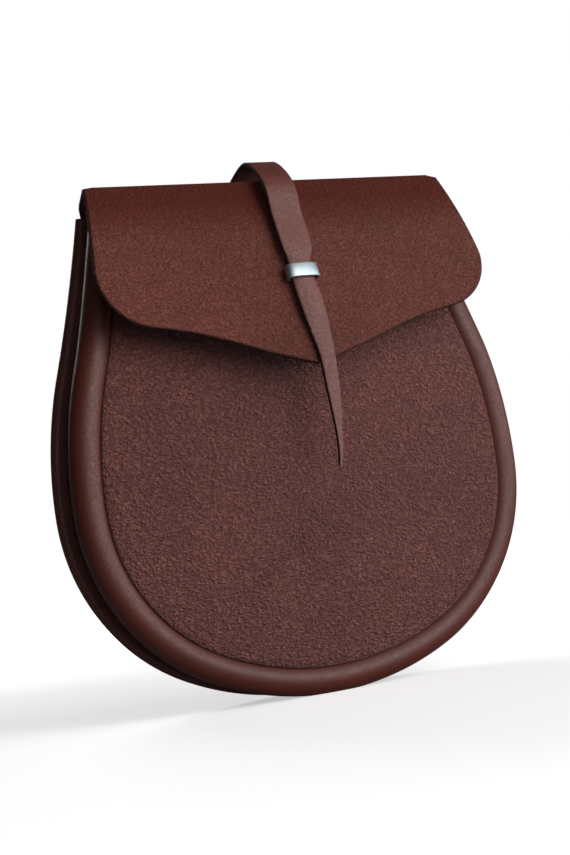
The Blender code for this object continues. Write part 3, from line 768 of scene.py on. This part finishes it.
back_inset = REAR_RADIUS - GAP
back_outline = [
    (x - back_inset * nx, z - back_inset * nz) for (x, z), (nx, nz) in half_outline(NECK_TURN)
]
sheet_bottom = back_outline[0][1]
rise = outline_top(NECK_TURN) - sheet_bottom
sheet_path = Path(POUCH_DEPTH, sheet_bottom, 90.0).straight(rise)
sheet_path.arc(BACK_BEND_RADIUS, 90.0 - ROOF_SLOPE).straight(FOLD_SPAN - BACK_BEND_RADIUS)
fold_start = sheet_path.length
sheet_path.arc(FOLD_RADIUS, ROOF_SLOPE + FLAP_START_SLOPE)
fold_end = sheet_path.length
sheet_path.arc(FLAP_UPPER_RADIUS, FLAP_UPPER_TURN)
sheet_path.arc(FLAP_LOWER_RADIUS, 90.0 - FLAP_START_SLOPE - FLAP_UPPER_TURN)


def flap_corner(angle):
    """Distance from the middle and drop on the corner arc of the flap. Angle 0 is at its side."""
    distance = FLAP_HALF_WIDTH - FLAP_CORNER_RADIUS * (1.0 - cos(radians(angle)))
    drop = FLAP_CORNER_DROP - FLAP_CORNER_RADIUS * (1.0 - sin(radians(angle)))
    return distance, drop


def lower_line(x):
    """Length of the flap so far from its middle, inward of the corners, from the fold to its lower edge."""
    start, start_drop = flap_corner(FLAP_CORNER_TURN)
    share = abs(x) / start
    lift = (FLAP_TIP_DROP - start_drop) * share
    lift += FLAP_BOW * sin(pi * share) - FLAP_WAVE * sin(2.0 * pi * share)
    return FLAP_TIP_DROP - lift


def flap_half_width(distance):
    widest = FLAP_CORNER_DROP - FLAP_CORNER_RADIUS
    swell = 1.0 - (1.0 - min(1.0, max(0.0, distance) / widest)) ** FLAP_SWELL
    return FOLD_HALF_WIDTH + (FLAP_HALF_WIDTH - FOLD_HALF_WIDTH) * swell


def sheet_border():
    """The flat cut of the back and flap, as spots (x, length along the sheet), right side first."""
    right = [(x, z - sheet_bottom) for x, z in back_outline]
    top_half = right[-1][0]
    for k in range(1, 9):
        share = k / 8.0
        length = rise + (fold_end - rise) * share
        right.append((top_half + (FOLD_HALF_WIDTH - top_half) * share, length))
    widest = FLAP_CORNER_DROP - FLAP_CORNER_RADIUS
    for distance in steps_between(0.0, widest, OUTLINE_STEP)[1:]:
        right.append((flap_half_width(distance), fold_end + distance))
    for angle in steps_between(0.0, FLAP_CORNER_TURN, 3.5)[1:]:
        x, drop = flap_corner(angle)
        right.append((x, fold_end + drop))
    for x in steps_between(right[-1][0], 0.0, -OUTLINE_STEP)[1:]:
        right.append((x, fold_end + lower_line(x)))
    left = [(-x, v) for x, v in reversed(right[1:-1])]
    return right + left


def sheet_place(x, length, out, distance):
    """A point of the back or flap. The free flap has slow ripples."""
    y, z, angle = sheet_path.at(length)
    hanging = min(1.0, max(0.0, (length - fold_end) / FLAP_TIP_DROP))
    ripple = FLAP_RIPPLE * noise.noise(Vector((x * 24.0, length * 20.0, 1.3)))
    ripple += FLAP_RIPPLE * 0.5 * noise.noise(Vector((x * 60.0, length * 48.0, 5.1)))
    out += ripple * hanging
    return x, y + out * sin(angle), z - out * cos(angle)


def sheet_rows():
    """Lengths at which the sheet has rows of points, close together where it bends."""
    rows = steps_between(SHEET_SPACING, rise - SHEET_SPACING, SHEET_SPACING)
    rows += steps_between(rise, rise + BACK_BEND_RADIUS * radians(90.0 - ROOF_SLOPE), BEND_SPACING)
    rows += steps_between(rows[-1] + SHEET_SPACING, fold_start - ROOF_MARGIN, SHEET_SPACING)
    rows += steps_between(fold_start, fold_end, FOLD_SPACING)
    rows += steps_between(fold_end + FLAP_MARGIN, fold_end + FLAP_TIP_DROP, SHEET_SPACING)
    return rows


def painted_top_shade(points, fade):
    """How much painted shade each point gets, from the highest point down to where that fades."""
    crest = max(point[2] for point in points)
    return [min(1.0, max(0.0, TOP_SHADE_STRENGTH * (1.0 - (crest - z) / fade))) for _, _, z in points]


# The flap's cut edges are dark: painted shade for the shadow under the flap's edge. The belt loop shares
# them.
flap_brown = leather(
    "flap leather", colour=(0.228, 0.0640, 0.0440), deep=(0.060, 0.0130, 0.0080),
    pebble=0.00115, relief=0.00115, roughness=0.44, creases=1.0, pores=0.2,
    cut=(0.060, 0.020, 0.014), specular=0.34
)
across = steps_between(-SHEET_HALF_WIDTH, SHEET_HALF_WIDTH, SHEET_SPACING)
points, faces, marks = leather_sheet(sheet_border(), across, sheet_rows(), BACK_WALL, sheet_place)
# Painted shade on the top of the fold.
marks["top_shade"] = painted_top_shade(points, TOP_SHADE_FADE)
back_and_flap = add_piece("back_and_flap_sheet", points, faces, flap_brown, marks, 50.0)
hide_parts("back_and_flap")


# The closing strap. A smooth strip is sewn behind the back, stands up in an arch over the fold, comes down
# the flap, is pinched by the keeper and ends as a long thin tail that sways a little to the right.
STRAP_WIDTH = 0.0134
STRAP_WALL = 0.0018
STRAP_ROOT_LENGTH = 0.026
STRAP_ARCH_RISE = 0.0075
STRAP_LIFT = 0.0028
STRAP_PINCH_WIDTH = 0.0098
STRAP_TAIL_LENGTH = 0.0705
STRAP_TAIL_SWAY = 0.0048
STRAP_CUP = 0.0011
STRAP_TIP_WIDTH = 0.0007
KEEPER_WIDTH = 0.0134
KEEPER_HEIGHT = 0.0056
KEEPER_WALL = 0.0009
KEEPER_SQUARENESS = 3.2
KEEPER_DROP = 0.0436
KEEPER_OFFSET = -0.0012
KEEPER_ROOM = 0.0006
STRAP_STEPS = 14
STRAP_WRINKLE = 0.00022
# How far down from the top of the strap's arch its painted shade reaches.
STRAP_TOP_SHADE_FADE = 0.018

keeper_depth = STRAP_WALL + STRAP_CUP + 2.0 * KEEPER_ROOM


def flap_face(drop, lift):
    """Place (y, z) and heading so far down the flap and so far in front of its face."""
    y, z, angle = sheet_path.at(fold_end + drop)
    out = BACK_WALL / 2.0 + lift
    return y + out * sin(angle), z - out * cos(angle), angle


def strap_route():
    """Middle (x, y, z), half width and cup at places from the sewn root over the fold to the tip."""
    behind = POUCH_DEPTH + BACK_WALL / 2.0 + GAP + STRAP_WALL / 2.0
    crest_y, crest_z, _ = sheet_path.at((fold_start + fold_end) / 2.0)
    top = crest_z + BACK_WALL / 2.0 + STRAP_ARCH_RISE
    shoulder = outline_top(NECK_TURN)
    span = behind - crest_y
    lift = KEEPER_WALL + GAP + keeper_depth / 2.0
    straight = KEEPER_HEIGHT * 0.75
    wide = STRAP_WIDTH / 2.0
    pinch = STRAP_PINCH_WIDTH / 2.0
    places = [
        (0.0, behind, shoulder - STRAP_ROOT_LENGTH, wide, 0.0),
        (0.0, behind, shoulder, wide, 0.0),
    ]
    arch = (
        # share of the way back from the crest, share of the rise from the shoulder
        (0.93, 0.55),
        (0.36, 1.00),
        (0.04, 0.93),
    )
    for back, up in arch:
        places.append((0.0, crest_y + span * back, shoulder + (top - shoulder) * up, wide, 0.0))
    descent = (
        # share of the drop to the keeper, of the lift, of the keeper's offset, width, cup
        (0.14, 2.20, 0.25, 1.00, 0.00),
        (0.44, 1.36, 0.42, 1.00, 0.00),
        (0.75, 1.37, 0.60, 0.97, 0.25),
    )
    for share, lifted, aside, width, cup in descent:
        y, z, _ = flap_face(KEEPER_DROP * share, STRAP_LIFT * lifted)
        places.append((KEEPER_OFFSET * aside, y, z, wide * width, cup))
    for drop in (KEEPER_DROP - straight, KEEPER_DROP + straight):
        y, z, _ = flap_face(drop, lift)
        places.append((KEEPER_OFFSET, y, z, pinch, 1.0))
    resting = GAP + STRAP_WALL / 2.0
    tail = (
        # share of the tail's length, of its sway, of the pinched width, cup, share of the lift
        (0.15, 0.35, 1.02, 0.7, 0.50),
        (0.28, 0.65, 0.84, 0.4, 0.15),
        (0.40, 0.90, 0.68, 0.2, 0.05),
        (0.58, 1.00, 0.56, 0.1, 0.0),
        (0.78, 1.02, 0.30, 0.0, 0.0),
        (0.92, 0.90, 0.16, 0.0, 0.0),
        (1.00, 0.68, STRAP_TIP_WIDTH / STRAP_PINCH_WIDTH, 0.0, 0.0),
    )
    for share, sway, width, cup, lifted in tail:
        drop = KEEPER_DROP + straight + STRAP_TAIL_LENGTH * share
        out = resting + (lift - resting) * lifted + STRAP_CUP * cup / 2.0
        y, z, _ = flap_face(drop, out)
        places.append((KEEPER_OFFSET + STRAP_TAIL_SWAY * sway, y, z, pinch * width, cup))
    return places


def smooth_route(places, steps):
    """The places joined by a smooth curve with so many steps between each two."""
    curve = []
    last = len(places) - 1
    for k in range(last):
        four = [np.array(places[min(max(k + j, 0), last)]) for j in (-1, 0, 1, 2)]
        a, b, c, d = four
        for j in range(steps):
            t = j / steps
            bend = 2 * b + (c - a) * t + (2 * a - 5 * b + 4 * c - d) * t * t
            curve.append(0.5 * (bend + (3 * b - a - 3 * c + d) * t**3))
    curve.append(np.array(places[-1]))
    return np.array(curve)


# Shares across the strap and through it, round its rounded cut edges
STRAP_SECTION = (
    # share across, share through, share of cut edge
    (-1.0, 0.3, 1.0), (-0.985, 0.75, 0.8), (-0.93, 1.0, 0.0), (-0.7, 1.0, 0.0), (-0.35, 1.0, 0.0),
    (0.0, 1.0, 0.0), (0.35, 1.0, 0.0), (0.7, 1.0, 0.0), (0.93, 1.0, 0.0), (0.985, 0.75, 0.8), (1.0, 0.3, 1.0),
    (1.0, -0.3, 1.0), (0.985, -0.75, 0.8), (0.93, -1.0, 0.0), (0.7, -1.0, 0.0), (0.35, -1.0, 0.0),
    (0.0, -1.0, 0.0), (-0.35, -1.0, 0.0), (-0.7, -1.0, 0.0), (-0.93, -1.0, 0.0), (-0.985, -0.75, 0.8),
    (-1.0, -0.3, 1.0),
)


def strap_rows():
    """Rows of points round the strap along its route, with soft wrinkles where it is bent or squeezed."""
    curve = smooth_route(strap_route(), STRAP_STEPS)
    rows = []
    for k, (x, y, z, half, cup) in enumerate(curve):
        before = curve[max(k - 1, 0)]
        after = curve[min(k + 1, len(curve) - 1)]
        angle = atan2(after[2] - before[2], after[1] - before[1])
        side_slope = (after[0] - before[0]) / np.hypot(after[1] - before[1], after[2] - before[2])
        row = []
        for share, through, _ in STRAP_SECTION:
            out = through * STRAP_WALL / 2.0 + STRAP_CUP * cup * (0.5 - share * share)
            spot = Vector((share * half * 260.0, k * 0.55, 0.0))
            out += STRAP_WRINKLE * (0.25 + 0.75 * cup) * noise.noise(spot) * (1.0 - abs(share) ** 6)
            along = -share * half * side_slope
            row.append((x + share * half, y + out * sin(angle) + along * cos(angle),
                        z - out * cos(angle) + along * sin(angle)))
        rows.append(row)
    return rows


# The strap's cut edges are near black: painted shade for the strap's shaded side and its shadow beside it.
strap_brown = leather(
    "strap leather", colour=(0.215, 0.0740, 0.0600), deep=(0.085, 0.0240, 0.0180),
    pebble=0.0010, relief=0.00040, roughness=0.30, creases=0.6, pores=0.4,
    cut=(0.020, 0.0065, 0.0045)
)
rows = strap_rows()
points = [point for row in rows for point in row]
# The strap's arch gets painted shade at its top.
marks = {
    "cut": [cut for _, _, cut in STRAP_SECTION] * len(rows),
    "top_shade": painted_top_shade(points, STRAP_TOP_SHADE_FADE),
    "flesh": [1.0 if through <= -1.0 else 0.0 for _, through, _ in STRAP_SECTION] * len(rows),
}
closing_strap = add_piece(
    "closing_strap_strip", points, ring_faces(len(rows), len(STRAP_SECTION)), strap_brown, marks, 60.0
)
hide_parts("closing_strap")


# The keeper. A flat oval ring of polished steel, with its edges eased, holds the strap to the flap.
KEEPER_EASE = 0.00022
KEEPER_ROUND = 64


def flat_oval(half_width, half_depth, count):
    """Points (x, out) round a flat oval, the square-sided curve of a pressed ring."""
    points = []
    power = 2.0 / KEEPER_SQUARENESS
    for k in range(count):
        angle = 2.0 * pi * (k + 0.5) / count
        across, out = cos(angle), sin(angle)
        x = half_width * abs(across) ** power * (1 if across > 0 else -1)
        points.append((x, half_depth * abs(out) ** power * (1 if out > 0 else -1)))
    return points


def keeper_points():
    """Rings of points round the wall of the keeper: outside, eased edges and inside."""
    half_depth = keeper_depth / 2.0 + KEEPER_WALL
    middle_y, middle_z, angle = flap_face(KEEPER_DROP, GAP + half_depth)
    half = KEEPER_HEIGHT / 2.0
    ease = KEEPER_EASE
    wall = KEEPER_WALL
    profile = (
        # depth under the outside, place along
        (0.0, -half + ease), (0.0, half - ease), (ease * 0.3, half - ease * 0.3), (ease, half),
        (wall - ease, half), (wall, half - ease), (wall, -half + ease), (wall - ease, -half),
        (ease, -half), (ease * 0.3, -half + ease * 0.3),
    )
    points = []
    for under, along in profile:
        for x, out in flat_oval(KEEPER_WIDTH / 2.0 - under, half_depth - under, KEEPER_ROUND):
            y = middle_y + out * sin(angle) + along * cos(angle)
            z = middle_z - out * cos(angle) + along * sin(angle)
            points.append((KEEPER_OFFSET + x, y, z))
    faces = []
    for ring in range(len(profile)):
        start = ring * KEEPER_ROUND
        after = (ring + 1) % len(profile) * KEEPER_ROUND
        for k in range(KEEPER_ROUND):
            n = (k + 1) % KEEPER_ROUND
            faces.append((start + k, after + k, after + n, start + n))
    return points, faces


steel, tree, shader, place = new_material("polished steel")
shader.inputs["Metallic"].default_value = 1.0
stretch = node(tree, "ShaderNodeMapping", {"Vector": place, "Scale": (1.0, 1.0, 9.0)})
scratches = node(tree, "ShaderNodeTexNoise", {"Vector": stretch.outputs[0], "Scale": 900.0, "Detail": 4.0})
blotch = node(tree, "ShaderNodeTexNoise", {"Vector": place, "Scale": 320.0, "Detail": 2.0})
rough = node(tree, "ShaderNodeMapRange", {"Value": scratches.outputs[0], "To Min": 0.40, "To Max": 0.54})
tree.links.new(rough.outputs[0], shader.inputs["Roughness"])
tint = mixed(tree, blotch.outputs[0], (0.34, 0.40, 0.43, 1.0), (0.46, 0.53, 0.57, 1.0))
tree.links.new(tint, shader.inputs["Base Color"])
bump = node(tree, "ShaderNodeBump", {"Height": scratches.outputs[0], "Distance": 0.000012})
tree.links.new(bump.outputs[0], shader.inputs["Normal"])
points, faces = keeper_points()
keeper = add_piece("keeper_ring", points, faces, steel, sharp=50.0)
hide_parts("keeper")


# The belt loop. A wide strip behind the back, sewn flat at both ends, stands off in the middle so that a
# belt passes through.
LOOP_WIDTH = 0.060
LOOP_WALL = 0.002
LOOP_BELOW_STRAP = 0.0102
LOOP_TAB = 0.011
LOOP_PASSAGE = 0.044
LOOP_STAND_OFF = 0.0066
LOOP_SLANT = 0.005
LOOP_CORNER = 0.003
LOOP_SPACING = 0.003
LOOP_FINE_SPACING = 0.0012
SLOPE_STEP = 0.0002

back_face = POUCH_DEPTH + BACK_WALL / 2.0
loop_near = back_face + GAP + LOOP_WALL / 2.0
loop_far = back_face + LOOP_STAND_OFF + LOOP_WALL / 2.0
loop_top = outline_top(NECK_TURN) - STRAP_ROOT_LENGTH - LOOP_BELOW_STRAP
loop_middle = loop_top - LOOP_TAB - LOOP_SLANT - LOOP_PASSAGE / 2.0
loop_half = LOOP_PASSAGE / 2.0 + LOOP_SLANT + LOOP_TAB


def loop_depth(z):
    """How far back the middle of the strip lies at this height."""
    share = (LOOP_PASSAGE / 2.0 + LOOP_SLANT - abs(z - loop_middle)) / LOOP_SLANT
    share = min(1.0, max(0.0, share))
    return loop_near + (loop_far - loop_near) * share * share * (3.0 - 2.0 * share)


def loop_place(x, z, out, distance):
    slope = (loop_depth(z + SLOPE_STEP) - loop_depth(z - SLOPE_STEP)) / (2.0 * SLOPE_STEP)
    length = (1.0 + slope * slope) ** 0.5
    return x, loop_depth(z) + out / length, z - out * slope / length


def rounded_rectangle(half_width, low, high, corner, steps=6):
    """A closed line round a rectangle with round corners."""
    centres = (
        (half_width - corner, low + corner, -90.0), (half_width - corner, high - corner, 0.0),
        (-half_width + corner, high - corner, 90.0), (-half_width + corner, low + corner, 180.0),
    )
    corners = []
    for x, z, start in centres:
        turn = [radians(start + 90.0 * k / steps) for k in range(steps + 1)]
        corners.append([(x + corner * cos(a), z + corner * sin(a)) for a in turn])
    line = []
    for k, points in enumerate(corners):
        line += points
        (x1, z1), (x2, z2) = points[-1], corners[(k + 1) % 4][0]
        for share in steps_between(0.0, 1.0, 1.0 / 20.0)[1:-1]:
            line.append((x1 + (x2 - x1) * share, z1 + (z2 - z1) * share))
    return line


border = rounded_rectangle(LOOP_WIDTH / 2.0, loop_middle - loop_half, loop_middle + loop_half, LOOP_CORNER)
across = steps_between(-LOOP_WIDTH / 2.0, LOOP_WIDTH / 2.0, LOOP_SPACING)
along = steps_between(loop_middle - loop_half, loop_middle + loop_half, LOOP_FINE_SPACING)
points, faces, marks = leather_sheet(border, across, along, LOOP_WALL, loop_place)
marks["flesh"] = 1.0 - marks["flesh"] if points[0][1] < points[len(points) // 2][1] else marks["flesh"]
belt_loop = add_piece("belt_loop_strip", points, faces, flap_brown, marks, 50.0)
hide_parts("belt_loop")


# The stitches. Waxed brown thread, sunk in the leather at each hole, runs along the rear rim on both its
# legs, along the strap's root and across the belt loop's tabs.
STITCH_LENGTH = 0.0026
STITCH_PITCH = 0.0033
THREAD_RADIUS = 0.00028
THREAD_SIDES = 8

thread_brown, tree, shader, place = new_material("waxed thread")
twist = node(tree, "ShaderNodeTexWave", {"Vector": place, "Scale": 900.0, "Distortion": 2.0})
tint = mixed(tree, twist.outputs["Fac"], (0.010, 0.004, 0.003, 1.0), (0.045, 0.018, 0.013, 1.0))
tree.links.new(tint, shader.inputs["Base Color"])
bump = node(tree, "ShaderNodeBump", {"Height": twist.outputs["Fac"], "Distance": 0.00006})
tree.links.new(bump.outputs[0], shader.inputs["Normal"])
rough = node(tree, "ShaderNodeMapRange", {"Value": twist.outputs["Fac"], "To Min": 0.42, "To Max": 0.62})
tree.links.new(rough.outputs[0], shader.inputs["Roughness"])


def stitch_row(line, out):
    """Points and faces of stitches along a line of points, arched out of the face they lie on."""
    line = np.array(line)
    out = np.array(out)
    gaps = np.linalg.norm(np.diff(line, axis=0), axis=1)
    lengths = np.concatenate([[0.0], np.cumsum(gaps)])
    points = []
    faces = []
    count = int((lengths[-1] - STITCH_LENGTH) / STITCH_PITCH)
    slack = (lengths[-1] - count * STITCH_PITCH) / 2.0
    shares = (0.0, 0.08, 0.25, 0.5, 0.75, 0.92, 1.0)
    for k in range(count):
        start = slack + k * STITCH_PITCH
        for share in shares:
            at = start + STITCH_LENGTH * share
            middle = np.array([np.interp(at, lengths, line[:, axis]) for axis in range(3)])
            ahead = np.array([np.interp(at + 1e-4, lengths, line[:, axis]) for axis in range(3)])
            behind = np.array([np.interp(at - 1e-4, lengths, line[:, axis]) for axis in range(3)])
            normal = np.array([np.interp(at, lengths, out[:, axis]) for axis in range(3)])
            normal /= np.linalg.norm(normal)
            way = ahead - behind
            way /= np.linalg.norm(way)
            aside = np.cross(way, normal)
            arch = sin(pi * share) ** 0.5
            radius = THREAD_RADIUS * (0.45 + 0.55 * arch)
            middle = middle + normal * THREAD_RADIUS * (0.55 * arch - 0.35)
            for j in range(THREAD_SIDES):
                angle = 2.0 * pi * j / THREAD_SIDES
                points.append(middle + radius * (cos(angle) * normal + sin(angle) * aside))
        base = k * len(shares) * THREAD_SIDES
        faces += [tuple(base + index for index in face) for face in ring_faces(len(shares), THREAD_SIDES)]
    return points, faces


def add_stitches(name, rows_of_stitches):
    """One piece of thread from several rows, each a line of points and the way out of the leather there."""
    points = []
    faces = []
    for line, out in rows_of_stitches:
        more, their_faces = stitch_row(line, out)
        faces += [tuple(len(points) + index for index in face) for face in their_faces]
        points += more
    thing = add_piece(name, points, faces, thread_brown, sharp=80.0)
    return thing


REAR_STITCH_INSET = 0.0056
rear_line = []
front_leg_line = []
for (x, z), (nx, nz) in whole_outline(NECK_TURN)[3:-3]:
    x, z = x - REAR_STITCH_INSET * nx, z - REAR_STITCH_INSET * nz
    rear_line.append((x, POUCH_DEPTH + REAR_RADIUS, z))
    front_leg_line.append((x, POUCH_DEPTH - REAR_RADIUS, z))
facing_back = [(0.0, 1.0, 0.0)] * len(rear_line)
facing_front = [(0.0, -1.0, 0.0)] * len(rear_line)
add_stitches("rear_rim_stitches", [(rear_line, facing_back), (front_leg_line, facing_front)])

STITCH_MARGIN = 0.0032
TAB_STITCH_MARGIN = 0.0015
ROOT_STITCH_MARGIN = 0.0022
ROOT_STITCH_TOP = 0.020


def box_line(half_width, low, high, depth):
    """A closed row of stitches round a rectangle on a face at this depth."""
    first = (-half_width, low)
    corners = (first, (half_width, low), (half_width, high), (-half_width, high), first)
    line = []
    for (x1, z1), (x2, z2) in zip(corners, corners[1:]):
        for share in steps_between(0.0, 1.0, 0.1)[:-1]:
            line.append((x1 + (x2 - x1) * share, depth, z1 + (z2 - z1) * share))
    line.append((corners[0][0], depth, corners[0][1]))
    return line, [(0.0, 1.0, 0.0)] * len(line)


loop_bottom = loop_middle - loop_half
half_width = LOOP_WIDTH / 2.0 - STITCH_MARGIN
tab_face = loop_near + LOOP_WALL / 2.0
tab_rows = LOOP_TAB - TAB_STITCH_MARGIN
low_tab = box_line(half_width, loop_bottom + STITCH_MARGIN, loop_bottom + tab_rows, tab_face)
high_tab = box_line(half_width, loop_top - tab_rows, loop_top - STITCH_MARGIN, tab_face)
add_stitches("belt_loop_stitches", [low_tab, high_tab])

root_bottom = outline_top(NECK_TURN) - STRAP_ROOT_LENGTH
root_face = back_face + GAP + STRAP_WALL
root_low = root_bottom + ROOT_STITCH_MARGIN
root = box_line(STRAP_WIDTH / 2.0 - ROOT_STITCH_MARGIN, root_low, root_bottom + ROOT_STITCH_TOP, root_face)
add_stitches("strap_root_stitches", [root])
